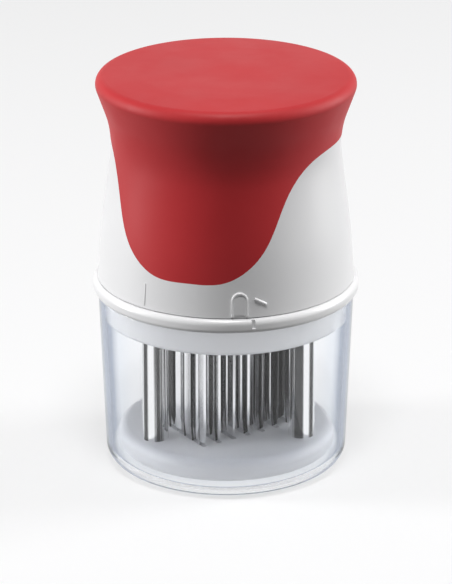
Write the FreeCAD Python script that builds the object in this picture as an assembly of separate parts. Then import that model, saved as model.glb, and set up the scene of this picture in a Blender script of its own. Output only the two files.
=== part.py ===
import FreeCAD, Part
import math
import os

# A round hand-held blade meat tenderizer, standing on its clear protective cap.
# Millimetres, +Z up, the origin at the middle of the cap's underside, front at -Y.
#
# From the bottom up: the cap, the round pressing plate with its slots, three chrome
# columns that slide in the cartridge, seven-prong blade combs, the bayonet collar,
# the white housing and the red soft grip with its pad and its two tongues.

Vector = FreeCAD.Vector
UP = Vector(0, 0, 1)
CENTRE = Vector(0, 0, 0)

# ---------------------------------------------------------------- protective cap
cap_height = 63.5
cap_floor = 2.0
cap_wall = 1.9
cap_draft = 2.5             # how much narrower the foot is than the mouth
cap_fit = 0.4               # air between the mouth and the skirt
cap_corner = 5.5
cap_lip = 0.8               # rounding of the mouth's inner edge

# ---------------------------------------------------------------- pressing plate
plate_air = 2.1             # air between the plate and the cap's wall
plate_thickness = 8.4
plate_hang = 2.5            # air under the plate while the tool stands in its cap
plate_shoulder = 3.4        # rounding of the plate's upper edge
plate_lower_round = 3.8
plate_rim_width = 7.9
plate_recess_depth = 3.0
slot_clearance = 0.45       # air all round a comb in its slot
stroke = 30.0

# ---------------------------------------------------------------- guide columns
column_count = 3
column_margin = 8.6         # from the carrier's edge to a column's axis
column_radius = 4.5
column_wall = 0.8
column_grip = 0.6           # column above its stop ring
plug_height = 8.0
stop_ring_width = 0.8
stop_ring_height = 2.4
running_clearance = 0.06
fit_clearance = 0.02

# ---------------------------------------------------------------- blades
comb_pitch = 6.1
comb_thickness = 1.0
comb_bar_height = 1.5
comb_bar_overhang = 0.8
blade_pitch = 4.9
blade_width = 3.2
blade_offset = 1.75         # the blade field stands off the axis, away from one column
blade_air = 0.5             # least air between the blade field and the bushes
tip_depth = 1.0             # blade points wait this deep in their slots
tip_rise = 2.4              # height of the slanting edge of a point
cartridge_angle = 50.8      # turn of the blade rows about Z while the lock is closed

# ---------------------------------------------------------------- collar
flange_radius = 46.6
flange_height = 5.0
flange_top_round = 2.2
flange_foot_round = 1.6
skirt_step = 4.0            # the skirt stands back under the flange
skirt_depth = 9.5
skirt_wall = 2.2
skirt_foot_round = 1.8
ledge_drop = 3.0            # from the flange's underside to the top of the ledge
ledge_height = 4.0
ledge_width = 1.9
spigot_step = 5.9
spigot_wall = 2.4
spigot_height = 11.5
spigot_lead = 0.6
notch_angle = -61.0
notch_width = 1.3
notch_depth = 1.1

# ---------------------------------------------------------------- blade carrier and towers
carrier_thickness = 4.0
carrier_rim = 2.2
seat_clearance = 0.2
tower_base_thickness = 3.5
tower_wall = 1.2
tower_headroom = 1.0
tower_cap_plug = 2.0
tower_cap_thickness = 1.6
bush_wall = 1.1
bush_length = 13.5
bush_flange_width = 1.3
bush_flange_height = 1.2

# ---------------------------------------------------------------- springs
spring_wire = 0.45
spring_radius = 2.75
spring_turns = 10
rod_radius = 1.6
rod_end_gap = 1.6

# ---------------------------------------------------------------- bayonet lock
lock_angle = 50.0
lug_count = 3
lug_arc = 20.0
hook_arc = 24.0
lug_height = 2.5
lug_depth = 1.2
lug_air = 0.4               # air between a lug and the housing's bore
hook_height = 2.5
hook_lift = 0.5
lug_gap = 0.2
stop_rib_arc = 3.0
stop_play = 0.6
lug_angle = -90.0

# ---------------------------------------------------------------- housing and grip
seam = 0.3
body_step = 1.6             # the body stands back over the flange
belly_draw = 1.7
belly_rise = 20.4
belly_rounding = 260.0
neck_draw = 5.85            # where the body's run and the flare's run would meet
neck_rounding = 34.0
flare_slope = 0.36
flare_height = 20.0
top_rise = 72.5
rim_rounding = 3.3
crown_width = 15.0          # the top falls away a little over this width
crown_rise = 0.8
crown_rounding = 60.0
skin = 1.5
housing_wall = 2.0
rest_rib_width = 3.4
rest_rib_height = 3.0
deck_depth = 12.0           # the deck under the pad, below the top
deck_thickness = 3.0
core_height = 7.6

# Outline of a red tongue, seen from the front.
tongue_rise = 11.5          # white band under the tongue
tongue_half_width = 13.0
tongue_sag = 0.9
tongue_corner_width = 22.8
tongue_corner_rise = 8.2
tongue_flank_width = 31.6
tongue_flank_rise = 31.8
tongue_shoulder_width = 37.5
shoulder_drop = 0.5         # the shoulders lie this far below the neck

# ---------------------------------------------------------------- screws
screw_radius = 1.5
screw_head_radius = 2.8
screw_head_height = 2.0
screw_margin = 4.1          # from the carrier's edge to a clamp screw's axis
screw_boss_radius = 3.2
screw_cover = 2.0           # boss left under a clamp screw's tip
cover_screw_circle = 20.0
cover_screw_bite = 5.5
column_screw_bite = 6.0

# ---------------------------------------------------------------- levels worked out from the sizes
z_flange = cap_height
z_flange_top = z_flange + flange_height
z_skirt_foot = z_flange - skirt_depth
z_ledge = z_flange - ledge_drop
z_ledge_foot = z_ledge - ledge_height
z_carrier_top = z_ledge + carrier_thickness
z_tower_base = z_carrier_top + comb_bar_height
z_tower_base_top = z_tower_base + tower_base_thickness
z_spigot_top = z_flange_top + spigot_height
z_plate = cap_floor + plate_hang
z_plate_top = z_plate + plate_thickness
z_tips = z_plate_top - tip_depth
z_bush_top = z_ledge + bush_length
z_column_top = z_bush_top + stop_ring_height + column_grip
z_spring_seat = z_plate_top + plug_height
z_spring_top = z_column_top + stroke + tower_headroom
z_tower_top = z_spring_top + tower_cap_plug
z_rod_end = z_spring_seat + stroke + rod_end_gap
z_body = z_flange_top + seam
z_deck_top = z_body + top_rise - deck_depth
z_deck = z_deck_top - deck_thickness
z_rim_top = z_body + top_rise
z_core_top = z_deck_top + core_height
z_hook = z_flange_top + hook_lift
z_lug = z_hook + hook_height + lug_gap
neck_rise = top_rise - flare_height
shoulder_rise = neck_rise - shoulder_drop
skirt_radius = flange_radius - skirt_step
spigot_radius = flange_radius - spigot_step
bayonet_bore = spigot_radius + lug_depth + lug_air
rest_rib_radius = bayonet_bore - rest_rib_width
collar_bore = spigot_radius - spigot_wall
carrier_radius = collar_bore - seat_clearance
column_circle = carrier_radius - column_margin
screw_circle = carrier_radius - screw_margin
cap_mouth_radius = skirt_radius + cap_fit + cap_wall
cap_foot_radius = cap_mouth_radius - cap_draft
plate_radius = cap_foot_radius - cap_wall - plate_air
plate_recess_radius = plate_radius - plate_rim_width
body_foot_radius = flange_radius - body_step
belly_radius = body_foot_radius - belly_draw
neck_radius = body_foot_radius - neck_draw
crown_radius = body_foot_radius - crown_width
tower_bore = column_radius + bush_wall
tower_radius = tower_bore + tower_wall
bush_reach = tower_bore + bush_flange_width + blade_air
comb_room = column_circle - bush_reach - comb_thickness / 2 + blade_offset
row_end = comb_bar_overhang + blade_width / 2
row_room = column_circle * math.sin(math.pi / column_count) - bush_reach - row_end
comb_count = 1 + int(2 * comb_room / comb_pitch)
blade_rows = 1 + int(2 * row_room / blade_pitch)
far_out = 2.0 * flange_radius

COLUMN_NAMES = ["left", "right", "rear"]


# ---------------------------------------------------------------- helpers
def polar(radius, degrees, z=0.0):
    """A point on a circle about the Z axis."""
    angle = math.radians(degrees)
    return Vector(radius * math.cos(angle), radius * math.sin(angle), z)


def column_angles():
    """The three columns: one behind the blade field's end, two beside its other end."""
    step = 360.0 / column_count
    return [cartridge_angle + 180.0 + step * index for index in range(column_count)]


def screw_angles():
    """The clamp screws stand between the columns."""
    return [angle + 180.0 for angle in column_angles()]


def disc(radius, z_low, z_high, place=CENTRE):
    """A plain round solid between two heights."""
    foot = Vector(place.x, place.y, z_low)
    return Part.makeCylinder(radius, z_high - z_low, foot, UP)


def ring(outer, inner, z_low, z_high, place=CENTRE):
    """A plain tube between two heights."""
    through = z_high - z_low
    bore = disc(inner, z_low - through, z_high + through, place)
    return disc(outer, z_low, z_high, place).cut(bore)


def toward(corner, other, distance):
    """The point at a distance from a corner on the way to another point."""
    along = (other - corner).normalize()
    return corner + along * distance


def rounding_arc(before, corner, after, rounding):
    """The arc that is tangent to both runs of a corner."""
    half_turn = (corner - before).getAngle(after - corner) / 2
    tangent = rounding * math.tan(half_turn)
    start = toward(corner, before, tangent)
    end = toward(corner, after, tangent)
    to_arc = rounding / math.cos(half_turn) - rounding
    middle = toward(corner, (start + end) / 2, to_arc)
    return start, Part.Arc(start, middle, end).toShape(), end


def outline(corners):
    """A closed outline of straight runs from (radius, z) or (radius, z, rounding) corners."""
    points = [Vector(corner[0], 0, corner[1]) for corner in corners]
    edges = []
    stops = []
    for index, corner in enumerate(corners):
        point = points[index]
        if len(corner) == 2:
            stops.append((point, point))
            continue
        following = points[(index + 1) % len(points)]
        start, bend, end = rounding_arc(points[index - 1], point, following, corner[2])
        stops.append((start, end))
        edges.append(bend)
    for index in range(len(stops)):
        run_start = stops[index - 1][1]
        run_end = stops[index][0]
        if run_start.distanceToPoint(run_end) > 1e-6:
            edges.append(Part.makeLine(run_start, run_end))
    return Part.Wire(Part.__sortEdges__(edges))


def turned(corners):
    """A solid of revolution about Z from the corners of its half section."""
    return Part.Face(outline(corners)).revolve(CENTRE, UP, 360)


def round_hole(solid, radius, place, z_low, z_high):
    """The solid with a vertical hole."""
    return solid.cut(disc(radius, z_low, z_high, place))


def arc_block(inner, outer, z_low, z_high, middle, width):
    """A piece of a ring that spans an angle, such as a bayonet lug."""
    slice_wire = Part.makePolygon([
        Vector(inner, 0, z_low),
        Vector(outer, 0, z_low),
        Vector(outer, 0, z_high),
        Vector(inner, 0, z_high),
        Vector(inner, 0, z_low),
    ])
    block = Part.Face(slice_wire).revolve(CENTRE, UP, width)
    block.rotate(CENTRE, UP, middle - width / 2)
    return block


def in_cartridge(solid):
    """A solid modelled along X, turned to the cartridge's own direction."""
    solid.rotate(CENTRE, UP, cartridge_angle)
    return solid


def comb_places():
    """Where the combs stand along the rows."""
    first = blade_offset - comb_pitch * (comb_count - 1) / 2
    return [first + comb_pitch * index for index in range(comb_count)]


def blade_places():
    """Where the prongs of a comb stand across the rows."""
    first = -blade_pitch * (blade_rows - 1) / 2
    return [first + blade_pitch * index for index in range(blade_rows)]


def blade_slots(z_low, z_high, clearance):
    """Upright openings for every blade, as one tool to cut with."""
    wide = comb_thickness + 2 * clearance
    deep = blade_width + 2 * clearance
    tools = []
    for along in comb_places():
        for across in blade_places():
            corner = Vector(along - wide / 2, across - deep / 2, z_low)
            tools.append(Part.makeBox(wide, deep, z_high - z_low, corner))
    return in_cartridge(Part.makeCompound(tools))


def comb_slots(z_low, z_high, clearance):
    """One long upright opening for every comb, as one tool to cut with."""
    wide = comb_thickness + 2 * clearance
    ends = blade_places()
    deep = ends[-1] - ends[0] + blade_width + 2 * clearance
    tools = []
    for along in comb_places():
        corner = Vector(along - wide / 2, -deep / 2, z_low)
        tools.append(Part.makeBox(wide, deep, z_high - z_low, corner))
    return in_cartridge(Part.makeCompound(tools))


def screw(place, z_seat, length, heads_up):
    """A pan-head screw: its seat height, its shank length and the way its head points."""
    sign = 1 if heads_up else -1
    head_foot = z_seat if heads_up else z_seat - screw_head_height
    head = disc(screw_head_radius, head_foot, head_foot + screw_head_height, place)
    shank_foot = z_seat - length if heads_up else z_seat
    shank = disc(screw_radius, shank_foot, shank_foot + length, place)
    slot_z = z_seat + sign * screw_head_height
    cross = screw_head_radius * 1.1
    slot = Part.makeBox(cross, screw_radius / 2, screw_head_height)
    slot.translate(Vector(place.x - cross / 2, place.y - screw_radius / 4, slot_z - screw_head_height / 2))
    return head.fuse(shank).cut(slot).removeSplitter()


# ---------------------------------------------------------------- protective cap
def protective_cap():
    """The clear cup: a rounded foot, a drafted wall and an open mouth."""
    return turned([
        (0, 0),
        (cap_foot_radius, 0, cap_corner),
        (cap_mouth_radius, cap_height, cap_lip / 2),
        (cap_mouth_radius - cap_wall, cap_height, cap_lip),
        (cap_foot_radius - cap_wall, cap_floor, cap_corner - cap_wall / 2),
        (0, cap_floor),
    ])


# ---------------------------------------------------------------- pressing plate and columns
def pressing_plate():
    """The round plate: domed edge, slots for the blades, hollow under its middle."""
    plate = turned([
        (0, z_plate),
        (plate_radius, z_plate, plate_lower_round),
        (plate_radius, z_plate_top, plate_shoulder),
        (0, z_plate_top),
    ])
    plate = plate.cut(disc(plate_recess_radius, z_plate - 1, z_plate + plate_recess_depth))
    plate = plate.fuse(column_bosses())
    plate = plate.cut(comb_slots(z_plate - 1, z_plate_top + 1, slot_clearance))
    for angle in column_angles():
        place = polar(column_circle, angle)
        plate = round_hole(plate, screw_radius + fit_clearance, place, z_plate - 1, z_plate_top + 1)
        plate = round_hole(plate, screw_head_radius + seat_clearance, place, z_plate - 1, screw_seat())
    return plate.removeSplitter()


def screw_seat():
    """How high the heads of the column screws sit in the plate."""
    return z_plate + screw_head_height + seat_clearance


def column_bosses():
    """Round bosses under the columns that fill the plate's hollow there."""
    bosses = []
    for angle in column_angles():
        place = polar(column_circle, angle)
        top = z_plate + plate_recess_depth + 1
        bosses.append(disc(column_radius, z_plate, top, place))
    inside = disc(plate_radius - plate_lower_round, z_plate, z_plate_top)
    return Part.makeCompound(bosses).common(inside)


def column(angle):
    """One chrome tube from the plate up into the cartridge."""
    place = polar(column_circle, angle)
    return ring(column_radius, column_radius - column_wall, z_plate_top, z_column_top, place)


def column_plug(angle):
    """The plug in a column's foot that takes its screw and carries its spring."""
    place = polar(column_circle, angle)
    radius = column_radius - column_wall - fit_clearance
    plug = disc(radius, z_plate_top, z_spring_seat, place)
    bite = screw_radius + fit_clearance
    return round_hole(plug, bite, place, z_plate_top - 1, z_plate_top + column_screw_bite)


def stop_ring(angle):
    """The ring on a column's head that lands on the bush when the plate is right out."""
    place = polar(column_circle, angle)
    inner = column_radius + fit_clearance
    return ring(inner + stop_ring_width, inner, z_bush_top, z_bush_top + stop_ring_height, place)


def column_screws():
    """The screws that hold the columns down on the plate, heads underneath."""
    length = z_plate_top + column_screw_bite - screw_seat()
    return [screw(polar(column_circle, angle), screw_seat(), length, False) for angle in column_angles()]


# ---------------------------------------------------------------- blades
def blade_comb(along):
    """A stamped comb: a bar on top and one slant-ended blade for each row."""
    half = blade_width / 2
    ends = blade_places()
    bar = ends[-1] + half + comb_bar_overhang
    outline = [(-bar, z_tower_base), (-bar, z_carrier_top)]
    for across in ends:
        outline += [
            (across - half, z_carrier_top),
            (across - half, z_tips + tip_rise),
            (across + half, z_tips),
            (across + half, z_carrier_top),
        ]
    outline += [(bar, z_carrier_top), (bar, z_tower_base), (-bar, z_tower_base)]
    side = along - comb_thickness / 2
    wire = Part.makePolygon([Vector(side, across, z) for across, z in outline])
    comb = Part.Face(wire).extrude(Vector(comb_thickness, 0, 0))
    return in_cartridge(comb)


# ---------------------------------------------------------------- cartridge
def bayonet_collar():
    """The ring that everything in the cartridge hangs in, with its bowl-shaped skirt."""
    ledge_bore = collar_bore - ledge_width
    collar = turned([
        (ledge_bore, z_ledge_foot),
        (skirt_radius - skirt_wall, z_ledge_foot),
        (skirt_radius - skirt_wall, z_skirt_foot),
        (skirt_radius, z_skirt_foot, skirt_foot_round),
        (skirt_radius, z_flange),
        (flange_radius, z_flange, flange_foot_round),
        (flange_radius, z_flange_top, flange_top_round),
        (spigot_radius, z_flange_top),
        (spigot_radius, z_spigot_top, spigot_lead),
        (collar_bore, z_spigot_top),
        (collar_bore, z_ledge),
        (ledge_bore, z_ledge),
    ])
    for index in range(lug_count):
        middle = lug_angle + 360.0 * index / lug_count
        outer = spigot_radius + lug_depth
        inner = spigot_radius - spigot_wall / 2
        collar = collar.fuse(arc_block(inner, outer, z_lug, z_lug + lug_height, middle, lug_arc))
    for angle in screw_angles():
        boss = disc(screw_boss_radius, z_ledge_foot, z_ledge, polar(screw_circle, angle))
        collar = collar.fuse(boss)
    for angle in screw_angles():
        bite = screw_radius + fit_clearance
        collar = round_hole(collar, bite, polar(screw_circle, angle), z_ledge_foot + 1, z_ledge + 1)
    return collar.cut(lock_notch()).removeSplitter()


def lock_notch():
    """The small mark in the flange that points to the lock signs."""
    mark = Part.makeBox(2 * notch_depth, notch_width, flange_height)
    mark.translate(Vector(flange_radius - notch_depth, -notch_width / 2, z_flange + flange_height / 3))
    mark.rotate(CENTRE, UP, notch_angle)
    return mark


def blade_carrier():
    """The slotted plate that the combs hang in."""
    carrier = disc(carrier_radius, z_ledge, z_tower_base)
    pocket = disc(carrier_radius - carrier_rim, z_carrier_top, z_tower_base + 1)
    for angle in column_angles():
        place = polar(column_circle, angle)
        pocket = pocket.cut(disc(tower_radius, z_carrier_top - 1, z_tower_base + 1, place))
    for angle in screw_angles():
        pillar = disc(screw_boss_radius, z_carrier_top - 1, z_tower_base + 1, polar(screw_circle, angle))
        pocket = pocket.cut(pillar)
    carrier = carrier.cut(pocket)
    carrier = carrier.cut(blade_slots(z_ledge - 1, z_carrier_top + 1, fit_clearance))
    for angle in column_angles():
        place = polar(column_circle, angle)
        carrier = round_hole(carrier, tower_bore + fit_clearance, place, z_ledge - 1, z_tower_base + 1)
    for angle in screw_angles():
        place = polar(screw_circle, angle)
        carrier = round_hole(carrier, screw_radius + fit_clearance, place, z_ledge - 1, z_tower_base + 1)
    return carrier


def tower_block():
    """The clamp plate over the combs, moulded in one with the three spring towers."""
    block = disc(carrier_radius, z_tower_base, z_tower_base_top)
    for angle in column_angles():
        block = block.fuse(disc(tower_radius, z_tower_base, z_tower_top, polar(column_circle, angle)))
    for angle in column_angles():
        place = polar(column_circle, angle)
        block = round_hole(block, tower_bore + fit_clearance, place, z_tower_base - 1, z_tower_top + 1)
    for angle in screw_angles():
        place = polar(screw_circle, angle)
        block = round_hole(block, screw_radius + fit_clearance, place, z_tower_base - 1, z_tower_base_top + 1)
    return block.removeSplitter()


def clamp_screws():
    """The screws that draw the towers, the combs and the carrier down on the collar."""
    length = z_tower_base_top - z_ledge_foot - screw_cover
    places = [polar(screw_circle, angle) for angle in screw_angles()]
    return [screw(place, z_tower_base_top, length, True) for place in places]


def guide_bush(angle):
    """The flanged bush that a column slides in."""
    place = polar(column_circle, angle)
    bore = column_radius + running_clearance
    flange_foot = z_ledge - bush_flange_height
    sleeve = disc(tower_bore, flange_foot, z_bush_top, place)
    flange = disc(tower_bore + bush_flange_width, flange_foot, z_ledge, place)
    return round_hole(sleeve.fuse(flange), bore, place, flange_foot - 1, z_bush_top + 1)


def tower_cap(angle):
    """The stopper in the top of a tower, which holds the rod and the spring's end."""
    place = polar(column_circle, angle)
    plug = disc(tower_bore, z_spring_top, z_tower_top, place)
    lid = disc(tower_radius, z_tower_top, z_tower_top + tower_cap_thickness, place)
    whole = plug.fuse(lid)
    z_above = z_tower_top + tower_cap_thickness + 1
    return round_hole(whole, rod_radius + fit_clearance, place, z_spring_top - 1, z_above)


def spring_rod(angle):
    """The pin that keeps the spring straight inside its column."""
    return disc(rod_radius, z_rod_end, z_tower_top + tower_cap_thickness, polar(column_circle, angle))


def return_spring(angle):
    """A coil spring between the plug in a column's foot and the cap of its tower."""
    place = polar(column_circle, angle)
    low = z_spring_seat + spring_wire
    height = z_spring_top - spring_wire - low
    helix = Part.makeHelix(height / spring_turns, height, spring_radius)
    start = Vector(spring_radius, 0, 0)
    wire_section = Part.Wire(Part.makeCircle(spring_wire, start, Vector(0, 1, 0)))
    spring = Part.Wire(helix).makePipeShell([wire_section], True, True)
    spring.translate(Vector(place.x, place.y, low))
    return spring


# ---------------------------------------------------------------- handle
def side_corners(inset):
    """The handle's side, moved in by an inset: body taper, neck and flare up to the top."""
    top_radius = neck_radius + flare_slope * (top_rise - neck_rise)
    return [
        (body_foot_radius - inset, z_body),
        (belly_radius - inset, z_body + belly_rise, belly_rounding),
        (neck_radius - inset, z_body + neck_rise, neck_rounding),
        (top_radius - inset, z_rim_top),
    ]


def handle_form():
    """The whole outer form of the handle, with its rolled rim and its faintly crowned top."""
    side = side_corners(0)
    rim_corner = (side[-1][0], z_rim_top, rim_rounding)
    crown = (crown_radius, z_rim_top + crown_rise, crown_rounding)
    return turned([(0, z_body)] + side[:-1] + [rim_corner, crown, (0, z_rim_top + crown_rise)])


def under_skin(inset):
    """A solid with the handle's side moved in by an inset, flat on top."""
    return turned([(0, z_body)] + side_corners(inset) + [(0, z_rim_top)])


def handle_core():
    """What lies under the red skin, up to the top of the stiff pad."""
    return under_skin(skin).common(disc(far_out, z_body, z_core_top))


def tongue_points():
    """Half of a tongue's edge, from its lowest point out to the shoulder."""
    z_low = z_body + tongue_rise
    return [
        (0, z_low),
        (tongue_half_width, z_low + tongue_sag),
        (tongue_corner_width, z_low + tongue_corner_rise),
        (tongue_flank_width, z_low + tongue_flank_rise),
        (tongue_shoulder_width, z_body + shoulder_rise - tongue_sag),
        (flange_radius, z_body + shoulder_rise),
    ]


def grip_region():
    """Everything that the red skin covers: all above the shoulders, and two tongues."""
    right = tongue_points()
    left = [(-across, z) for across, z in reversed(right[1:])]
    spline = Part.BSplineCurve()
    spline.interpolate([Vector(across, -far_out, z) for across, z in left + right])
    z_over = z_rim_top + far_out
    closing = [right[-1], (flange_radius, z_over), (-flange_radius, z_over), left[0]]
    rest = Part.makePolygon([Vector(across, -far_out, z) for across, z in closing])
    face = Part.Face(Part.Wire([spline.toShape()] + rest.Edges))
    return face.extrude(Vector(0, 2 * far_out, 0))


def grip_cover(form, core, region):
    """The red soft skin: pad, neck and tongues in one moulding."""
    return form.cut(core).common(region)


def housing_cavity():
    """The hollow of the housing, with the bore for the bayonet and the rib it rests on."""
    z_rib = z_spigot_top + rest_rib_height
    bore = disc(bayonet_bore, z_body - 1, z_spigot_top)
    rib_bore = disc(rest_rib_radius, z_body, z_rib)
    upper = under_skin(skin + housing_wall).common(disc(far_out, z_rib, z_deck))
    return bore.fuse(rib_bore).fuse(upper)


def housing(form, core, region):
    """The white shell: flush with the red skin outside, open below for the cartridge."""
    shell = form.cut(region.cut(core)).common(disc(far_out, z_body, z_deck_top))
    shell = shell.cut(housing_cavity())
    for index in range(lug_count):
        middle = lug_angle + 360.0 * index / lug_count
        shell = shell.fuse(bayonet_catch(middle))
    for index in range(lug_count):
        place = polar(cover_screw_circle, lug_angle + 360.0 * index / lug_count)
        shell = round_hole(shell, screw_radius + fit_clearance, place, z_deck - 1, z_deck_top + 1)
    return shell.removeSplitter()


def bayonet_catch(middle):
    """A hook under a closed lug, and the two ribs that stop the twist at its ends."""
    outer = bayonet_bore + housing_wall / 2
    inner = spigot_radius + seam
    hook = arc_block(inner, outer, z_hook, z_hook + hook_height, middle, hook_arc)
    reach = lug_arc / 2 + stop_play + stop_rib_arc / 2
    z_high = z_lug + lug_height
    closed = arc_block(inner, outer, z_lug, z_high, middle + reach, stop_rib_arc)
    opened = arc_block(inner, outer, z_lug, z_high, middle - lock_angle - reach, stop_rib_arc)
    return Part.makeCompound([hook, closed, opened])


def pad_core(core):
    """The stiff disc inside the pad, on the housing's deck."""
    disc_part = core.common(disc(far_out, z_deck_top, z_core_top))
    bite = screw_radius + fit_clearance
    for index in range(lug_count):
        place = polar(cover_screw_circle, lug_angle + 360.0 * index / lug_count)
        disc_part = round_hole(disc_part, bite, place, z_deck_top - 1, z_deck_top + cover_screw_bite)
    return disc_part


def cover_screws():
    """The screws that pull the pad down on the deck, heads inside the housing."""
    length = deck_thickness + cover_screw_bite
    places = [polar(cover_screw_circle, lug_angle + 360.0 * index / lug_count) for index in range(lug_count)]
    return [screw(place, z_deck, length, False) for place in places]


# ---------------------------------------------------------------- writing
def save(name, solids):
    """Write one node; several like solids go into one compound."""
    shape = solids if not isinstance(solids, list) else Part.makeCompound(solids)
    if not shape.isValid():
        raise ValueError(name + " is not a valid shape")
    for solid in shape.Solids:
        if solid.Volume <= 0:
            raise ValueError(name + " has a solid with no volume")
    os.makedirs("parts", exist_ok=True)
    shape.exportStep("parts/" + name + ".step")
    print(name, len(shape.Solids), "solid(s)", round(shape.Volume, 1), "mm3")


def main():
    """Build every node and write it."""
    form = handle_form()
    core = handle_core()
    region = grip_region()
    save("protective_cap", protective_cap())
    save("pressing_plate", pressing_plate())
    save("column_screws", column_screws())
    for index, comb_place in enumerate(comb_places()):
        save("blade_comb_" + str(index + 1), blade_comb(comb_place))
    save("bayonet_collar", bayonet_collar())
    save("blade_carrier", blade_carrier())
    save("tower_block", tower_block())
    save("clamp_screws", clamp_screws())
    for name, angle in zip(COLUMN_NAMES, column_angles()):
        save("column_" + name, column(angle))
        save("column_plug_" + name, column_plug(angle))
        save("stop_ring_" + name, stop_ring(angle))
        save("guide_bush_" + name, guide_bush(angle))
        save("tower_cap_" + name, tower_cap(angle))
        save("spring_rod_" + name, spring_rod(angle))
        save("return_spring_" + name, return_spring(angle))
    save("housing", housing(form, core, region))
    save("grip_cover", grip_cover(form, core, region))
    save("pad_core", pad_core(core))
    save("cover_screws", cover_screws())


main()
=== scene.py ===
import logging
import math
from dataclasses import dataclass
from enum import Enum
from typing import ClassVar

import bmesh
import bpy
from mathutils import Matrix, Vector


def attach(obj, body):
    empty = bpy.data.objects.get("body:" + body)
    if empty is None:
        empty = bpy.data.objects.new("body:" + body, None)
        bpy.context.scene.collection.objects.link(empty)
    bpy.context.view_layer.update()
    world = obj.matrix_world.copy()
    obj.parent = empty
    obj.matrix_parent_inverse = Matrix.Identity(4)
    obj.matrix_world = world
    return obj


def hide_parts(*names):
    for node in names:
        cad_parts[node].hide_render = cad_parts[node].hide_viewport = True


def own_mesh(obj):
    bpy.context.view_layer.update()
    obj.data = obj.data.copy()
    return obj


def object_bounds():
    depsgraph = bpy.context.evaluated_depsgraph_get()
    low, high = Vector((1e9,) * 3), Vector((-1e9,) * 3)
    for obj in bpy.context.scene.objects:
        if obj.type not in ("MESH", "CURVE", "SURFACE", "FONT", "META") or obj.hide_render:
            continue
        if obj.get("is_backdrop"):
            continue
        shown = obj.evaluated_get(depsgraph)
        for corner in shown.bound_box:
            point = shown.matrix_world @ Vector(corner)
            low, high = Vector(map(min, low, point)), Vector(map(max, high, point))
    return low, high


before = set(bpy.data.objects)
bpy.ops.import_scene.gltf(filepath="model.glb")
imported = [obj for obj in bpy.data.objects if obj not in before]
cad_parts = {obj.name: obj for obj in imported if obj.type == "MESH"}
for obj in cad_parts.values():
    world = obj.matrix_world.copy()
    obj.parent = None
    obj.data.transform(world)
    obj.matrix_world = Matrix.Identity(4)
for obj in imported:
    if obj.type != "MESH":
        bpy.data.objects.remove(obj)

LOG = logging.getLogger("tenderizer")

Colour = tuple[float, float, float]
Pair = tuple[float, float]
Socket = bpy.types.NodeSocket

# Where the values of a noise nearly all lie, and the part of them over which two tones blend.
NOISE_SPAN: Pair = (0.2, 0.8)
WIDE_REACH: Pair = (0.3, 0.7)

# Lengths in metres that count as nothing.
COPY_WELD = 1e-6
LATHE_WELD = 1e-7
RING_REACH = 2e-5
AXIS_REACH = 1e-5
CENTRE_REACH = 1e-4

# How far sideways the normal of a turned face may point, how upright that of a flat one
# stands, and the least weight of a face in square metres.
TURNED_SIDEWAYS = 0.2
FLAT_UPRIGHT = 0.98
LEAST_WEIGHT = 1e-12


# ---------------------------------------------------------------- names shared by the classes
class Body(Enum):
    """The rigid bodies of the tool."""

    CAP = "cap"
    CARTRIDGE = "cartridge"
    PLATE = "plate"
    HANDLE = "handle"


class Slot(Enum):
    """The material slots of the tool."""

    CLEAR = "clear_plastic"
    WHITE = "white_plastic"
    INNER = "inner_plastic"
    PLATE = "plate_plastic"
    BUSH = "bush_plastic"
    RED = "red_grip"
    BLADE = "blade_steel"
    CHROME = "column_chrome"
    SPRING = "spring_steel"
    SCREW = "screw_steel"


class Side(Enum):
    """Where the three columns stand."""

    LEFT = "left"
    RIGHT = "right"
    REAR = "rear"


class Mark(Enum):
    """The raised signs of the twist lock, on the housing just above the flange."""

    CLOSED = "closed"
    POINTER = "pointer"
    OPEN = "open"


# ---------------------------------------------------------------- finishes
@dataclass(frozen=True)
class Grain:
    """The grain of a noise: its cells to the metre and its octaves of finer noise."""

    scale: float
    detail: float


class Graph:
    """A node tree with short calls for adding and linking."""

    def __init__(self, tree: bpy.types.NodeTree) -> None:
        """Keep the tree to add to."""
        self.tree = tree

    def add(self, kind: str, **settings: object) -> bpy.types.Node:
        """Add a node.

        Args:
            kind: The node's type name.
            **settings: Properties to set on it.

        Returns:
            The new node.
        """
        node = self.tree.nodes.new(kind)
        for key, value in settings.items():
            setattr(node, key, value)
        return node

    def link(self, source: Socket, target: Socket) -> None:
        """Lead one socket into another."""
        self.tree.links.new(source, target)


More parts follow.
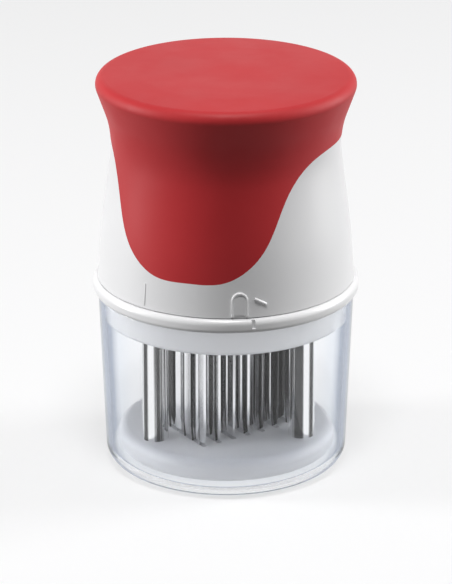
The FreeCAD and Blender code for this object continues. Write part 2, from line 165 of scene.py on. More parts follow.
class FinishGraph(Graph):
    """The node tree of one finish, with short calls for the nodes that finishes share."""

    def __init__(self, name: str) -> None:
        """Start a material with one Principled shader and Object coordinates.

        Args:
            name: The material's name.
        """
        self.material = bpy.data.materials.new(name)
        self.material.use_nodes = True
        super().__init__(self.material.node_tree)
        self.shader = self.tree.nodes["Principled BSDF"]
        self.place = self.add("ShaderNodeTexCoord").outputs["Object"]

    def stretched(self, scale: tuple[float, float, float]) -> Socket:
        """Object coordinates scaled along each axis.

        Args:
            scale: The factors along X, Y and Z.

        Returns:
            The vector socket of the Mapping node.
        """
        mapping = self.add("ShaderNodeMapping")
        mapping.inputs["Scale"].default_value = scale
        self.link(self.place, mapping.inputs["Vector"])
        return mapping.outputs["Vector"]

    def noise(self, grain: Grain, place: Socket | None = None) -> Socket:
        """A noise pattern.

        Args:
            grain: How fine it is.
            place: Coordinates other than plain Object ones.

        Returns:
            The factor socket of the noise.
        """
        noise = self.add("ShaderNodeTexNoise")
        noise.inputs["Scale"].default_value = grain.scale
        noise.inputs["Detail"].default_value = grain.detail
        self.link(place or self.place, noise.inputs["Vector"])
        return noise.outputs["Fac"]

    def between(self, factor: Socket, span: Pair) -> Socket:
        """Spread a noise over a span of values.

        Args:
            factor: The noise to spread.
            span: The lowest and the highest value.

        Returns:
            The socket with the spread value.
        """
        spread = self.add("ShaderNodeMapRange", interpolation_type="SMOOTHSTEP")
        spread.inputs["From Min"].default_value, spread.inputs["From Max"].default_value = NOISE_SPAN
        spread.inputs["To Min"].default_value, spread.inputs["To Max"].default_value = span
        self.link(factor, spread.inputs["Value"])
        return spread.outputs["Result"]

    def colour(self, factor: Socket, first: Colour, second: Colour, reach: Pair = WIDE_REACH) -> None:
        """Let the base colour wander between two tones.

        Args:
            factor: The pattern that they follow.
            first: The tone of its low places.
            second: The tone of its high places.
            reach: Where the first tone ends and the second begins.
        """
        self.tones(factor, ((reach[0], first), (reach[1], second)))

    def tones(self, factor: Socket, stops: tuple[tuple[float, Colour], ...]) -> None:
        """Give the base colour a row of tones.

        Args:
            factor: The value that they follow.
            stops: The places along it and their tones.
        """
        ramp = self.add("ShaderNodeValToRGB")
        elements = ramp.color_ramp.elements
        while len(elements) < len(stops):
            elements.new(1.0)
        for stop, (position, tone) in zip(elements, stops):
            stop.position = position
            stop.color = (*tone, 1.0)
        self.link(factor, ramp.inputs["Fac"])
        self.link(ramp.outputs["Color"], self.shader.inputs["Base Color"])

    def roughness(self, factor: Socket, span: Pair) -> None:
        """Let the roughness wander over a span."""
        self.link(self.between(factor, span), self.shader.inputs["Roughness"])

    def bump(self, height: Socket, strength: float, depth: float) -> None:
        """Raise the surface a little.

        Args:
            height: The pattern that is raised.
            strength: How much of it shows, 0 to 1.
            depth: Its height in metres.
        """
        bump = self.add("ShaderNodeBump")
        bump.inputs["Strength"].default_value = strength
        bump.inputs["Distance"].default_value = depth
        self.link(height, bump.inputs["Height"])
        self.link(bump.outputs["Normal"], self.shader.inputs["Normal"])

    def fixed(self, **values: float) -> None:
        """Set plain numbers on the shader's own sockets, by socket name with underscores."""
        for key, value in values.items():
            self.shader.inputs[key.replace("_", " ")].default_value = value


@dataclass(frozen=True)
class MouldedPlastic:
    """Injection-moulded plastic: faint flow tones, orange peel and an uneven gloss."""

    colour: Colour
    flow: Colour
    gloss: Pair
    coat: float = 0.0
    coat_gloss: float = 0.12
    bending: float = 1.5
    peel_depth: float = 0.00002
    peel_strength: float = 0.25
    flow_grain: Grain = Grain(28.0, 2.0)
    gloss_grain: Grain = Grain(95.0, 3.0)
    peel_grain: Grain = Grain(700.0, 1.5)

    def make(self, name: str) -> bpy.types.Material:
        """Build the finish under a name."""
        graph = FinishGraph(name)
        graph.colour(graph.noise(self.flow_grain), self.colour, self.flow)
        graph.roughness(graph.noise(self.gloss_grain), self.gloss)
        graph.bump(graph.noise(self.peel_grain), self.peel_strength, self.peel_depth)
        graph.fixed(IOR=self.bending, Coat_Weight=self.coat, Coat_Roughness=self.coat_gloss)
        return graph.material


@dataclass(frozen=True)
class SoftTouchSkin:
    """Soft elastomer with a matt, velvety grain and slightly polished patches from the hand."""

    colour: Colour
    worn: Colour
    gloss: Pair
    shine: float = 0.27
    sheen: float = 0.04
    sheen_gloss: float = 0.4
    skin_depth: float = 0.00003
    skin_strength: float = 0.35
    worn_grain: Grain = Grain(24.0, 3.0)
    gloss_grain: Grain = Grain(60.0, 4.0)
    skin_grain: Grain = Grain(2600.0, 3.0)

    def make(self, name: str) -> bpy.types.Material:
        """Build the finish under a name."""
        graph = FinishGraph(name)
        graph.colour(graph.noise(self.worn_grain), self.colour, self.worn)
        graph.roughness(graph.noise(self.gloss_grain), self.gloss)
        graph.bump(graph.noise(self.skin_grain), self.skin_strength, self.skin_depth)
        graph.fixed(
            Specular_IOR_Level=self.shine, Sheen_Weight=self.sheen, Sheen_Roughness=self.sheen_gloss
        )
        return graph.material


@dataclass(frozen=True)
class ClearCup:
    """Clear styrene-like plastic with faint moulding haze; seen edge on it turns bluer, and at the
    very edge dark, which is painted shade.
    """

    tones: tuple[tuple[float, Colour], ...]
    haze: Pair
    bending: float = 1.3
    coat: float = 0.1
    coat_gloss: float = 0.03
    wave_depth: float = 0.000006
    wave_strength: float = 0.2
    haze_grain: Grain = Grain(130.0, 3.0)
    wave_grain: Grain = Grain(55.0, 1.0)

    def make(self, name: str) -> bpy.types.Material:
        """Build the finish under a name."""
        graph = FinishGraph(name)
        # The base colour follows the facing angle: a faint blue for the long path through the wall,
        # then a painted dark shade along the edges.
        graph.tones(graph.add("ShaderNodeLayerWeight").outputs["Facing"], self.tones)
        graph.roughness(graph.noise(self.haze_grain), self.haze)
        graph.bump(graph.noise(self.wave_grain), self.wave_strength, self.wave_depth)
        graph.fixed(IOR=self.bending, Transmission_Weight=1.0)
        graph.fixed(Coat_Weight=self.coat, Coat_Roughness=self.coat_gloss)
        return graph.material


@dataclass(frozen=True)
class Metal:
    """A bare or plated metal whose tool marks run along one axis, and whose base colour streaks
    between two tones along the same marks; on the chrome and the blades these tones are painted dark
    and bright reflections.
    """

    colour: Colour
    second_tone: Colour
    gloss: Pair
    marks: tuple[float, float, float]
    depth: float
    strength: float = 0.3
    reach: Pair = WIDE_REACH
    grain: Grain = Grain(1.0, 2.0)

    def make(self, name: str) -> bpy.types.Material:
        """Build the finish under a name."""
        graph = FinishGraph(name)
        tool_marks_and_painted_streaks = graph.noise(self.grain, graph.stretched(self.marks))
        # On the chrome and the blades this paints dark and bright reflection streaks into the base
        # colour; on the spring and the screws it is tone that differs at random.
        graph.colour(tool_marks_and_painted_streaks, self.colour, self.second_tone, self.reach)
        graph.roughness(tool_marks_and_painted_streaks, self.gloss)
        graph.bump(tool_marks_and_painted_streaks, self.strength, self.depth)
        graph.fixed(Metallic=1.0)
        return graph.material


FINISHES = {
    Slot.CLEAR: ClearCup(
        # The last tone, a dark blue-grey at grazing view, is painted edge shade.
        tones=(
            (0.0, (0.985, 0.99, 0.997)),
            (0.42, (0.965, 0.978, 0.995)),
            (0.6, (0.87, 0.91, 0.96)),
            (0.74, (0.16, 0.21, 0.32)),
        ),
        haze=(0.005, 0.03),
    ),
    Slot.WHITE: MouldedPlastic(
        colour=(0.81, 0.81, 0.815), flow=(0.79, 0.79, 0.8), gloss=(0.29, 0.38), coat=0.2
    ),
    Slot.INNER: MouldedPlastic(colour=(0.66, 0.66, 0.67), flow=(0.6, 0.6, 0.62), gloss=(0.4, 0.55)),
    Slot.PLATE: MouldedPlastic(colour=(0.66, 0.67, 0.7), flow=(0.62, 0.63, 0.66), gloss=(0.35, 0.5)),
    Slot.BUSH: MouldedPlastic(colour=(0.5, 0.5, 0.52), flow=(0.44, 0.44, 0.46), gloss=(0.4, 0.55)),
    Slot.RED: SoftTouchSkin(colour=(0.44, 0.02, 0.024), worn=(0.48, 0.026, 0.03), gloss=(0.48, 0.6)),
    # The blades' near-black and near-white streaks are painted reflections, not the steel's own
    # colour.
    Slot.BLADE: Metal(
        colour=(0.05, 0.05, 0.05), second_tone=(0.93, 0.93, 0.94), gloss=(0.1, 0.25),
        marks=(420.0, 420.0, 3.0), depth=0.00001, reach=(0.45, 0.55),
    ),
    # The columns' dark and bright streaks are painted reflections in the chrome.
    Slot.CHROME: Metal(
        colour=(0.08, 0.08, 0.08), second_tone=(0.97, 0.97, 0.97), gloss=(0.03, 0.09),
        marks=(360.0, 360.0, 1.5), depth=0.000002, reach=(0.38, 0.5),
    ),
    Slot.SPRING: Metal(
        colour=(0.5, 0.5, 0.51), second_tone=(0.4, 0.4, 0.42), gloss=(0.29, 0.4),
        marks=(500.0, 500.0, 500.0), depth=0.00001,
    ),
    Slot.SCREW: Metal(
        colour=(0.58, 0.59, 0.6), second_tone=(0.5, 0.52, 0.5), gloss=(0.29, 0.42),
        marks=(300.0, 300.0, 60.0), depth=0.00001,
    ),
}


# ---------------------------------------------------------------- mesh work
class MeshJob:
    """One mesh in the making, from bmesh operators."""

    def __init__(self) -> None:
        """Start empty."""
        self.bm = bmesh.new()

    def copy_node(self, node: str) -> None:
        """Take a CAD node's triangles and join them into one skin."""
        self.bm.from_mesh(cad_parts[node].data)
        bmesh.ops.remove_doubles(self.bm, verts=self.bm.verts, dist=COPY_WELD)

    def lathe(self, outline: list[Pair], steps: int) -> None:
        """Turn the closed outline of a half section round Z.

        Args:
            outline: (radius, z) corners in metres.
            steps: Faces round the full turn.
        """
        corners = [self.bm.verts.new((radius, 0.0, z)) for radius, z in outline]
        edges = [
            self.bm.edges.new((corners[index - 1], corner))
            for index, corner in enumerate(corners)
            if corner.co.x + corners[index - 1].co.x > 0
        ]
        bmesh.ops.spin(
            self.bm, geom=corners + edges, cent=(0, 0, 0), axis=(0, 0, 1),
            angle=math.tau, steps=steps, use_merge=True, use_duplicate=False,
        )
        bmesh.ops.remove_doubles(self.bm, verts=self.bm.verts, dist=LATHE_WELD)
        bmesh.ops.dissolve_degenerate(self.bm, edges=self.bm.edges, dist=LATHE_WELD)
        bmesh.ops.recalc_face_normals(self.bm, faces=self.bm.faces)

    def ring_edges(self, radius: float, z: float) -> list[bmesh.types.BMEdge]:
        """The edges that run round Z at a radius and a height."""

        def on_ring(vert: bmesh.types.BMVert) -> bool:
            """Whether a vertex stands on the ring."""
            aside = abs(math.hypot(vert.co.x, vert.co.y) - radius)
            return max(aside, abs(vert.co.z - z)) < RING_REACH

        return [edge for edge in self.bm.edges if all(on_ring(vert) for vert in edge.verts)]

    def round_edges(self, edges: list[bmesh.types.BMEdge], width: float, segments: int) -> None:
        """Round edges off.

        Args:
            edges: The edges.
            width: How far the rounding reaches along each face.
            segments: Faces across it.
        """
        bmesh.ops.bevel(
            self.bm, geom=edges, offset=width, offset_type="OFFSET", segments=segments,
            profile=0.5, affect="EDGES", material=-1, clamp_overlap=True,
        )

    def piece(self, name: str, sharp_angle: float) -> bpy.types.Object:
        """Turn the mesh into an object, smooth except at sharp edges.

        Args:
            name: The piece's name.
            sharp_angle: The least angle of an edge that stays sharp, in degrees.

        Returns:
            The new object, linked to the scene.
        """
        mesh = bpy.data.meshes.new(name)
        self.bm.to_mesh(mesh)
        self.bm.free()
        mesh.shade_smooth()
        mesh.set_sharp_from_angle(angle=math.radians(sharp_angle))
        made = bpy.data.objects.new(name, mesh)
        bpy.context.scene.collection.objects.link(made)
        return made

    def turned_piece(self, name: str, sharp_angle: float) -> bpy.types.Object:
        """Turn the mesh into an object whose turned faces shade as true turned faces.

        Args:
            name: The piece's name.
            sharp_angle: The least angle between two faces that don't blend, in degrees.

        Returns:
            The new object, linked to the scene.
        """
        least = math.cos(math.radians(sharp_angle))
        slopes = {face: turned_slope(face) for face in self.bm.faces}
        normals = [
            blended_normal(loop, slopes, least) for face in self.bm.faces for loop in face.loops
        ]
        made = self.piece(name, 180.0)
        made.data.normals_split_custom_set(normals)
        return made


def turned_slope(face: bmesh.types.BMFace) -> Vector | None:
    """How a face leans in the plane through the Z axis.

    Args:
        face: A face of a turned part.

    Returns:
        Its outward and upward parts, weighted by its area, or None if it isn't turned.
    """
    middle = face.calc_center_median()
    outward = Vector((middle.x, middle.y)).normalized()
    sideways = abs(face.normal.y * outward.x - face.normal.x * outward.y)
    if sideways > TURNED_SIDEWAYS and abs(face.normal.z) < FLAT_UPRIGHT:
        return None
    lean = Vector((face.normal.xy.dot(outward), face.normal.z)).normalized()
    return lean * max(face.calc_area(), LEAST_WEIGHT)


def blended_normal(
    loop: bmesh.types.BMLoop, slopes: dict[bmesh.types.BMFace, Vector | None], least: float
) -> Vector:
    """The shading normal of a face corner.

    Args:
        loop: The face corner.
        slopes: The lean of every face, weighted by area.
        least: The least cosine between leans that blend.

    Returns:
        The unit normal.
    """
    own = slopes[loop.face]
    if own is None:
        return loop.face.normal.copy()
    total = Vector((0.0, 0.0))
    for face in loop.vert.link_faces:
        other = slopes[face]
        if other is not None and other.normalized().dot(own.normalized()) > least:
            total += other
    lean = total.normalized()
    outward = loop.vert.co.xy
    if outward.length < AXIS_REACH:
        return Vector((0.0, 0.0, math.copysign(1.0, lean.y)))
    outward = outward.normalized() * lean.x
    return Vector((outward.x, outward.y, lean.y)).normalized()


@dataclass
class SubAssembly:
    """Pieces that belong together: CAD nodes to dress and new pieces to place."""

    materials: dict[Slot, bpy.types.Material]
    body: ClassVar[Body]
    sharp_angle: ClassVar[float] = 32.0

    def dress(self, slot: Slot, *nodes: str) -> None:
        """Give shown CAD nodes a finish."""
        for name in nodes:
            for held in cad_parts[name].material_slots:
                held.material = self.materials[slot]
            LOG.info("%s dressed in %s", name, slot.value)

    def place(self, piece: bpy.types.Object, slot: Slot, *stands_for: str) -> bpy.types.Object:
        """Give a new piece its finish and its body.

        Args:
            piece: The new object.
            slot: The finish.
            *stands_for: CAD nodes that it replaces.

        Returns:
            The same object.
        """
        piece.data.materials.append(self.materials[slot])
        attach(piece, self.body.value)
        if stands_for:
            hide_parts(*stands_for)
        LOG.info("%s rides on %s, %d faces", piece.name, self.body.value, len(piece.data.polygons))
        return piece

    def resurface(self, node: str, slot: Slot, name: str, turned: bool = True) -> None:
        """Replace a CAD node by a joined copy of itself with smooth shading.

        Args:
            node: The CAD node.
            slot: The finish.
            name: The new piece's name.
            turned: Whether it is turned about the tool's own axis.
        """
        job = MeshJob()
        job.copy_node(node)
        finish = job.turned_piece if turned else job.piece
        self.place(finish(name, self.sharp_angle), slot, node)


# ---------------------------------------------------------------- the clear cap
@dataclass
class ProtectiveCap(SubAssembly):
    """The clear cup that the tool stands in."""

    body: ClassVar[Body] = Body.CAP
    height: float = 0.0635
    floor: float = 0.002
    wall: float = 0.0019
    foot_radius: float = 0.0424
    mouth_radius: float = 0.0449
    corner: float = 0.0055
    corner_steps: int = 12
    lip: float = 0.0006
    lip_steps: int = 3
    steps: int = 144

    def build(self) -> None:
        """Turn the cup, round its corners and place it."""
        inner_foot = self.foot_radius - self.wall
        inner_mouth = self.mouth_radius - self.wall
        job = MeshJob()
        job.lathe(
            [
                (0.0, 0.0),
                (self.foot_radius, 0.0),
                (self.mouth_radius, self.height),
                (inner_mouth, self.height),
                (inner_foot, self.floor),
                (0.0, self.floor),
            ],
            self.steps,
        )
        outer = job.ring_edges(self.foot_radius, 0.0)
        job.round_edges(outer, self.corner, self.corner_steps)
        inner = job.ring_edges(inner_foot, self.floor)
        job.round_edges(inner, self.corner - self.wall / 2, self.corner_steps)
        mouth = job.ring_edges(self.mouth_radius, self.height)
        mouth += job.ring_edges(inner_mouth, self.height)
        job.round_edges(mouth, self.lip, self.lip_steps)
        cup = job.turned_piece("clear_cup", self.sharp_angle)
        self.place(cup, Slot.CLEAR, "protective_cap")


# ---------------------------------------------------------------- the pressing plate
class PressingPlate(SubAssembly):
    """The slotted plate with its three chrome columns."""

    body: ClassVar[Body] = Body.PLATE

    def build(self) -> None:
        """Dress the plate and its columns."""
        self.resurface("pressing_plate", Slot.PLATE, "slotted_plate")
        self.dress(Slot.SCREW, "column_screws")
        for side in Side:
            column, tube = f"column_{side.value}", f"chrome_tube_{side.value}"
            self.resurface(column, Slot.CHROME, tube, turned=False)
            self.dress(Slot.BUSH, f"column_plug_{side.value}")
            self.dress(Slot.SPRING, f"stop_ring_{side.value}")


# ---------------------------------------------------------------- the blade cartridge
@dataclass(frozen=True)
class GroundComb:
    """A stamped comb on the YZ plane: a bar with hanging blades, ground at their points."""

    thickness: float = 0.001
    blades: int = 7
    pitch: float = 0.0049
    width: float = 0.0032
    overhang: float = 0.0008
    bar_top: float = 0.066
    bar_foot: float = 0.0645
    tip: float = 0.0119
    tip_rise: float = 0.0024
    grind: float = 0.0035
    edge: float = 0.00015

    def draw(self, job: MeshJob) -> None:
        """Draw the whole comb."""
        self.add_bar(job.bm)
        self.grind_points(job.bm, self.draw_blades(job.bm))

    def centres(self) -> list[float]:
        """Where the blades hang along the bar."""
        first = -self.pitch * (self.blades - 1) / 2
        return [first + self.pitch * index for index in range(self.blades)]

    def add_bar(self, bm: bmesh.types.BMesh) -> None:
        """Make the bar and cut it across at every blade's sides."""
        centres = self.centres()
        half = centres[-1] + self.width / 2 + self.overhang
        height = self.bar_top - self.bar_foot
        size = Matrix.Diagonal((self.thickness, 2 * half, height, 1.0))
        lift = Matrix.Translation((0.0, 0.0, (self.bar_top + self.bar_foot) / 2))
        bmesh.ops.create_cube(bm, size=1.0, matrix=lift @ size)
        for centre in centres:
            for side in (-self.width / 2, self.width / 2):
                bmesh.ops.bisect_plane(
                    bm, geom=bm.verts[:] + bm.edges[:] + bm.faces[:],
                    plane_co=(0.0, centre + side, 0.0), plane_no=(0.0, 1.0, 0.0),
                )

    def draw_blades(self, bm: bmesh.types.BMesh) -> list[bmesh.types.BMFace]:
        """Pull the blades down out of the bar, as far as their grinding.

        Returns:
            The lower end face of each blade.
        """
        centres = self.centres()
        roots = [
            face for face in bm.faces
            if face.normal.z < -FLAT_UPRIGHT
            and any(abs(face.calc_center_median().y - centre) < CENTRE_REACH for centre in centres)
        ]
        drop = self.bar_foot - (self.tip + self.tip_rise + self.grind)
        ends = bmesh.ops.extrude_discrete_faces(bm, faces=roots)["faces"]
        for face in ends:
            bmesh.ops.translate(bm, verts=face.verts, vec=(0.0, 0.0, -drop))
        return ends

    def grind_points(self, bm: bmesh.types.BMesh, ends: list[bmesh.types.BMFace]) -> None:
        """Pull out the ground part of each blade and slant its end to a point."""
        for face in bmesh.ops.extrude_discrete_faces(bm, faces=ends)["faces"]:
            middle = face.calc_center_median().y
            for vert in face.verts:
                vert.co.x *= self.edge / self.thickness
                vert.co.z = self.tip if vert.co.y > middle else self.tip + self.tip_rise


@dataclass
class BladeCartridge(SubAssembly):
    """Everything that hangs in the bayonet collar: combs, carrier, towers and springs."""

    body: ClassVar[Body] = Body.CARTRIDGE
    comb: GroundComb = GroundComb()
    combs: int = 8
    comb_turn: float = 50.8
    comb_pitch: float = 0.0061
    comb_offset: float = 0.00175
    comb_sharp_angle: float = 20.0
    stroke: float = 0.03

    def build(self) -> None:
        """Dress the mouldings and build the springs and the ground combs."""
        self.resurface("bayonet_collar", Slot.WHITE, "collar_ring")
        self.dress(Slot.INNER, "blade_carrier", "tower_block")
        self.dress(Slot.SCREW, "clamp_screws")
        for side in Side:
            self.dress(Slot.BUSH, f"guide_bush_{side.value}")
            self.dress(Slot.INNER, f"tower_cap_{side.value}")
            self.dress(Slot.SCREW, f"spring_rod_{side.value}")
            self.build_spring(side)
        first = self.comb_offset - self.comb_pitch * (self.combs - 1) / 2
        for index in range(self.combs):
            self.build_comb(index + 1, first + self.comb_pitch * index)

    def build_spring(self, side: Side) -> None:
        """Replace a return spring by a smooth-shaded copy of itself with a mesh of its own.

        Args:
            side: The column that it stands in.
        """
        node = f"return_spring_{side.value}"
        job = MeshJob()
        job.copy_node(node)
        coil = job.piece(f"coil_spring_{side.value}", self.sharp_angle)
        spring = self.place(coil, Slot.SPRING, node)
        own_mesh(spring)

    def build_comb(self, number: int, along: float) -> None:
        """Build one comb and hang it in the pack.

        Args:
            number: Its number in the pack.
            along: Its place in the pack, in metres from the tool's axis.
        """
        job = MeshJob()
        self.comb.draw(job)
        bmesh.ops.translate(job.bm, verts=job.bm.verts, vec=(along, 0.0, 0.0))
        turn = Matrix.Rotation(math.radians(self.comb_turn), 3, "Z")
        bmesh.ops.rotate(job.bm, verts=job.bm.verts, cent=(0, 0, 0), matrix=turn)
        bmesh.ops.recalc_face_normals(job.bm, faces=job.bm.faces)
        comb = job.piece(f"ground_comb_{number}", self.comb_sharp_angle)
        self.place(comb, Slot.BLADE, f"blade_comb_{number}")


# ---------------------------------------------------------------- the handle
@dataclass(frozen=True)
class Stroke:
    """A straight sign: a half-sunk rod with rounded ends."""

    angle: float
    length: float
    slope: float
    level: float
    radius: float
    sides: int = 12
    end_share: float = 0.6
    end_steps: int = 3

    def draw(self, job: MeshJob) -> None:
        """Draw the rod flat: to the right, inwards and up from the housing's foot."""
        lie = Matrix.Rotation(math.radians(90.0), 4, "Y")
        tilt = Matrix.Rotation(math.radians(-self.slope), 4, "Y")
        lift = Matrix.Translation((0.0, 0.0, self.level))
        bmesh.ops.create_cone(
            job.bm, cap_ends=True, cap_tris=False, segments=self.sides, radius1=self.radius,
            radius2=self.radius, depth=self.length, matrix=lift @ tilt @ lie,
        )
        rims = [
            edge for edge in job.bm.edges
            if any(len(face.verts) == self.sides for face in edge.link_faces)
        ]
        job.round_edges(rims, self.radius * self.end_share, self.end_steps)


@dataclass(frozen=True)
class Padlock:
    """The closed sign: a shackle of half a ring over a rounded plate.

    The shares of its levels and of the plate's height are of the sign's height, those of the
    plate's thickness and foot are of the line's radius.
    """

    angle: float
    height: float = 0.0098
    width: float = 0.006
    line: float = 0.00055
    line_sides: int = 10
    shackle_steps: int = 16
    shoulder_share: float = 0.62
    leg_share: float = 0.9
    plate_share: float = 0.64
    plate_thickness_share: float = 1.2
    plate_foot_share: float = 2.0
    corner_share: float = 0.2
    corner_steps: int = 4

    def draw(self, job: MeshJob) -> None:
        """Draw the padlock flat: to the right, inwards and up from the housing's foot."""
        self.draw_shackle(job.bm)
        self.draw_plate(job)

    def draw_shackle(self, bm: bmesh.types.BMesh) -> None:
        """Sweep the shackle's line through half a ring and pull both its ends down."""
        shoulder = self.height * self.shoulder_share
        lift = Matrix.Translation((self.width / 2 - self.line, 0.0, shoulder))
        section = bmesh.ops.create_circle(
            bm, segments=self.line_sides, radius=self.line, cap_ends=False, matrix=lift
        )["verts"]
        rim = [edge for edge in bm.edges if all(vert in section for vert in edge.verts)]
        swept = bmesh.ops.spin(
            bm, geom=section + rim, cent=(0.0, 0.0, shoulder), axis=(0.0, -1.0, 0.0),
            angle=math.pi, steps=self.shackle_steps, use_merge=False, use_duplicate=False,
        )["geom_last"]
        far = [item for item in swept if isinstance(item, bmesh.types.BMEdge)]
        for end in (rim, far):
            leg = bmesh.ops.extrude_edge_only(bm, edges=end)["geom"]
            foot = [item for item in leg if isinstance(item, bmesh.types.BMVert)]
            bmesh.ops.translate(bm, verts=foot, vec=(0.0, 0.0, -shoulder * self.leg_share))
        bmesh.ops.holes_fill(bm, edges=bm.edges, sides=0)

    def draw_plate(self, job: MeshJob) -> None:
        """Add the padlock's body, a thin plate with rounded corners."""
        height = self.height * self.plate_share
        thickness = self.line * self.plate_thickness_share
        size = Matrix.Diagonal((self.width, thickness, height, 1.0))
        lift = Matrix.Translation((0.0, 0.0, height / 2 + self.line * self.plate_foot_share))
        made = bmesh.ops.create_cube(job.bm, size=1.0, matrix=lift @ size)["verts"]
        corners = [
            edge for edge in job.bm.edges
            if all(vert in made for vert in edge.verts)
            and abs(edge.verts[0].co.y - edge.verts[1].co.y) > thickness / 2
        ]
        job.round_edges(corners, height * self.corner_share, self.corner_steps)


SIGNS = {
    Mark.CLOSED: Padlock(angle=-66.7),
    Mark.POINTER: Stroke(angle=-57.5, length=0.0048, slope=-28.0, level=0.00539, radius=0.00055),
    Mark.OPEN: Stroke(angle=-111.0, length=0.00784, slope=90.0, level=0.0049, radius=0.0001925),
}


@dataclass
class Handle(SubAssembly):
    """The white housing, its red soft grip and the raised lock signs."""

    body: ClassVar[Body] = Body.HANDLE
    foot_radius: float = 0.045
    foot_level: float = 0.0688
    taper: float = 1.7 / 20.4
    sign_sharp_angle: float = 60.0

    def build(self) -> None:
        """Resurface both shells, dress what they hide and add the signs."""
        self.resurface("housing", Slot.WHITE, "white_shell")
        self.resurface("grip_cover", Slot.RED, "soft_grip")
        self.dress(Slot.INNER, "pad_core")
        self.dress(Slot.SCREW, "cover_screws")
        for mark, sign in SIGNS.items():
            self.build_sign(mark, sign)

    def build_sign(self, mark: Mark, sign: Padlock | Stroke) -> None:
        """Draw a sign flat, then lay it round the housing.

        Args:
            mark: Which sign.
            sign: Its sizes and where it stands, in degrees about Z.
        """
        job = MeshJob()
        sign.draw(job)
        for vert in job.bm.verts:
            vert.co = self.on_housing(vert.co, sign.angle)
        bmesh.ops.recalc_face_normals(job.bm, faces=job.bm.faces)
        self.place(job.piece("lock_sign_" + mark.value, self.sign_sharp_angle), Slot.WHITE)

    def on_housing(self, flat: Vector, angle: float) -> Vector:
        """Lay a flat point on the housing.

        Args:
            flat: To the right, inwards and up, from the foot of the housing.
            angle: The middle of the sign, in degrees about Z.

        Returns:
            The point in the tool's frame.
        """
        radius = self.foot_radius - self.taper * flat.z - flat.y
        turn = math.radians(angle) + flat.x / self.foot_radius
        return Vector((radius * math.cos(turn), radius * math.sin(turn), self.foot_level + flat.z))


# ---------------------------------------------------------------- the studio
@dataclass(frozen=True)
class Lamp:
    """A soft rectangular lamp that points at the tool."""

    name: str
    place: tuple[float, float, float]
    size: Pair
    power: float
    colour: Colour = (1.0, 1.0, 1.0)

    def build(self, target: Vector) -> None:
        """Hang the lamp and point it.

        Args:
            target: What it points at.
        """
        data = bpy.data.lights.new(self.name, "AREA")
        data.shape = "RECTANGLE"
        data.size, data.size_y = self.size
        data.energy = self.power
        data.color = self.colour
        lamp = bpy.data.objects.new(self.name, data)
        lamp.location = self.place
        lamp.rotation_euler = (target - Vector(self.place)).to_track_quat("-Z", "Y").to_euler()
        bpy.context.scene.collection.objects.link(lamp)


class StudioGraph(Graph):
    """The node tree of a surface that looks otherwise than it lights."""

    def __init__(self, tree: bpy.types.NodeTree) -> None:
        """Work out whether the camera, gloss or clear plastic looks at the surface.

        Args:
            tree: The node tree to add to.
        """
        super().__init__(tree)
        path = self.add("ShaderNodeLightPath").outputs
        looked_at = self.larger(path["Is Camera Ray"], path["Is Glossy Ray"])
        self.seen = self.larger(looked_at, path["Is Transmission Ray"])

    def larger(self, first: Socket, second: Socket) -> Socket:
        """The larger of two factors."""
        node = self.add("ShaderNodeMath", operation="MAXIMUM")
        self.link(first, node.inputs[0])
        self.link(second, node.inputs[1])
        return node.outputs["Value"]

    def blend(self, factor: Socket, shaders: tuple[Socket, Socket], output: bpy.types.Node) -> None:
        """Show a mix of two shaders.

        Args:
            factor: The share of the second one.
            shaders: The two shaders.
            output: The tree's output node.
        """
        mix = self.add("ShaderNodeMixShader")
        self.link(factor, mix.inputs["Fac"])
        self.link(shaders[0], mix.inputs[1])
        self.link(shaders[1], mix.inputs[2])
        self.link(mix.outputs["Shader"], output.inputs["Surface"])


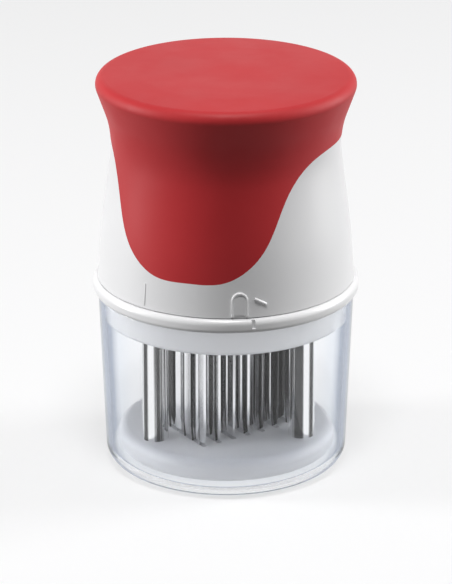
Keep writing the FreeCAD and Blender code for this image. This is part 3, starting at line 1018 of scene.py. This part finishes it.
@dataclass(frozen=True)
class Studio:
    """The pale floor, the world, the lamps and the camera."""

    target: tuple[float, float, float] = (0.0, 0.0, 0.0611)
    distance: float = 1.15
    azimuth: float = 17.3
    camera_height: float = 0.504
    lens: float = 216.0
    floor_size: float = 6.0
    floor_colour: Colour = (0.8, 0.8, 0.81)
    floor_roughness: float = 0.9
    floor_glow: float = 0.62
    bounce_colour: Colour = (0.15, 0.15, 0.15)
    backdrop_colour: Colour = (0.88, 0.88, 0.89)
    world_colour: Colour = (1.0, 1.0, 1.0)
    world_strength: float = 0.06
    lamps: tuple[Lamp, ...] = (
        Lamp("top_lamp", (0.1, -0.33, 1.25), (0.3, 0.3), 9.5),
        Lamp("left_lamp", (-1.15, -0.35, 0.35), (0.3, 0.9), 15.5),
        Lamp("right_lamp", (1.0, 0.55, 0.45), (0.5, 0.9), 13.0),
    )

    def build(self) -> None:
        """Set up everything that isn't the tool."""
        self.build_world()
        self.build_floor()
        for lamp in self.lamps:
            lamp.build(Vector(self.target))
        self.build_camera()
        bpy.context.scene.view_settings.view_transform = "Standard"

    def build_world(self) -> None:
        """A world that lights the tool faintly and is seen as a pale backdrop."""
        world = bpy.data.worlds.new("pale_studio")
        world.use_nodes = True
        graph = StudioGraph(world.node_tree)
        faint = graph.tree.nodes["Background"]
        faint.inputs["Color"].default_value = (*self.world_colour, 1.0)
        faint.inputs["Strength"].default_value = self.world_strength
        pale = graph.add("ShaderNodeBackground")
        pale.inputs["Color"].default_value = (*self.backdrop_colour, 1.0)
        pale.inputs["Strength"].default_value = 1.0
        shaders = (faint.outputs["Background"], pale.outputs["Background"])
        graph.blend(graph.seen, shaders, graph.tree.nodes["World Output"])
        bpy.context.scene.world = world

    def build_floor(self) -> None:
        """A wide pale floor just under the cap."""
        bm = bmesh.new()
        bmesh.ops.create_grid(bm, x_segments=2, y_segments=2, size=self.floor_size / 2)
        mesh = bpy.data.meshes.new("floor")
        bm.to_mesh(mesh)
        bm.free()
        mesh.materials.append(self.floor_finish())
        floor = bpy.data.objects.new("floor", mesh)
        bpy.context.scene.collection.objects.link(floor)
        floor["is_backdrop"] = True

    def floor_finish(self) -> bpy.types.Material:
        """Build the floor's finish: it is seen bright, but throws little light back.

        Returns:
            The new material.
        """
        material = bpy.data.materials.new("pale_floor")
        material.use_nodes = True
        graph = StudioGraph(material.node_tree)
        tones = graph.add("ShaderNodeValToRGB")
        unseen, seen = tones.color_ramp.elements
        unseen.color = (*self.bounce_colour, 1.0)
        seen.color = (*self.floor_colour, 1.0)
        graph.link(graph.seen, tones.inputs["Fac"])
        shader = graph.tree.nodes["Principled BSDF"]
        graph.link(tones.outputs["Color"], shader.inputs["Base Color"])
        shader.inputs["Roughness"].default_value = self.floor_roughness
        share = graph.add("ShaderNodeMath", operation="MULTIPLY")
        share.inputs[1].default_value = self.floor_glow
        graph.link(graph.seen, share.inputs[0])
        glow = graph.add("ShaderNodeEmission")
        shaders = (shader.outputs["BSDF"], glow.outputs["Emission"])
        graph.blend(share.outputs["Value"], shaders, graph.tree.nodes["Material Output"])
        return material

    def build_camera(self) -> None:
        """The camera, in front and to the right, looking down a little."""
        data = bpy.data.cameras.new("camera")
        data.lens = self.lens
        camera = bpy.data.objects.new("camera", data)
        turn = math.radians(self.azimuth)
        camera.location = (
            self.distance * math.sin(turn), -self.distance * math.cos(turn), self.camera_height
        )
        look = Vector(self.target) - camera.location
        camera.rotation_euler = look.to_track_quat("-Z", "Y").to_euler()
        bpy.context.scene.collection.objects.link(camera)
        bpy.context.scene.camera = camera


# ---------------------------------------------------------------- everything in order
def corners() -> list[list[float]]:
    """The shown object's lowest and highest corner, as plain lists."""
    return [list(corner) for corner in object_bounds()]


def main() -> None:
    """Build the studio and the tool."""
    logging.basicConfig(level=logging.INFO, format="%(message)s")
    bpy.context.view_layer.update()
    Studio().build()
    materials = {slot: finish.make(slot.value) for slot, finish in FINISHES.items()}
    for assembly in (ProtectiveCap, PressingPlate, BladeCartridge, Handle):
        assembly(materials).build()


if __name__ == "__main__":
    main()
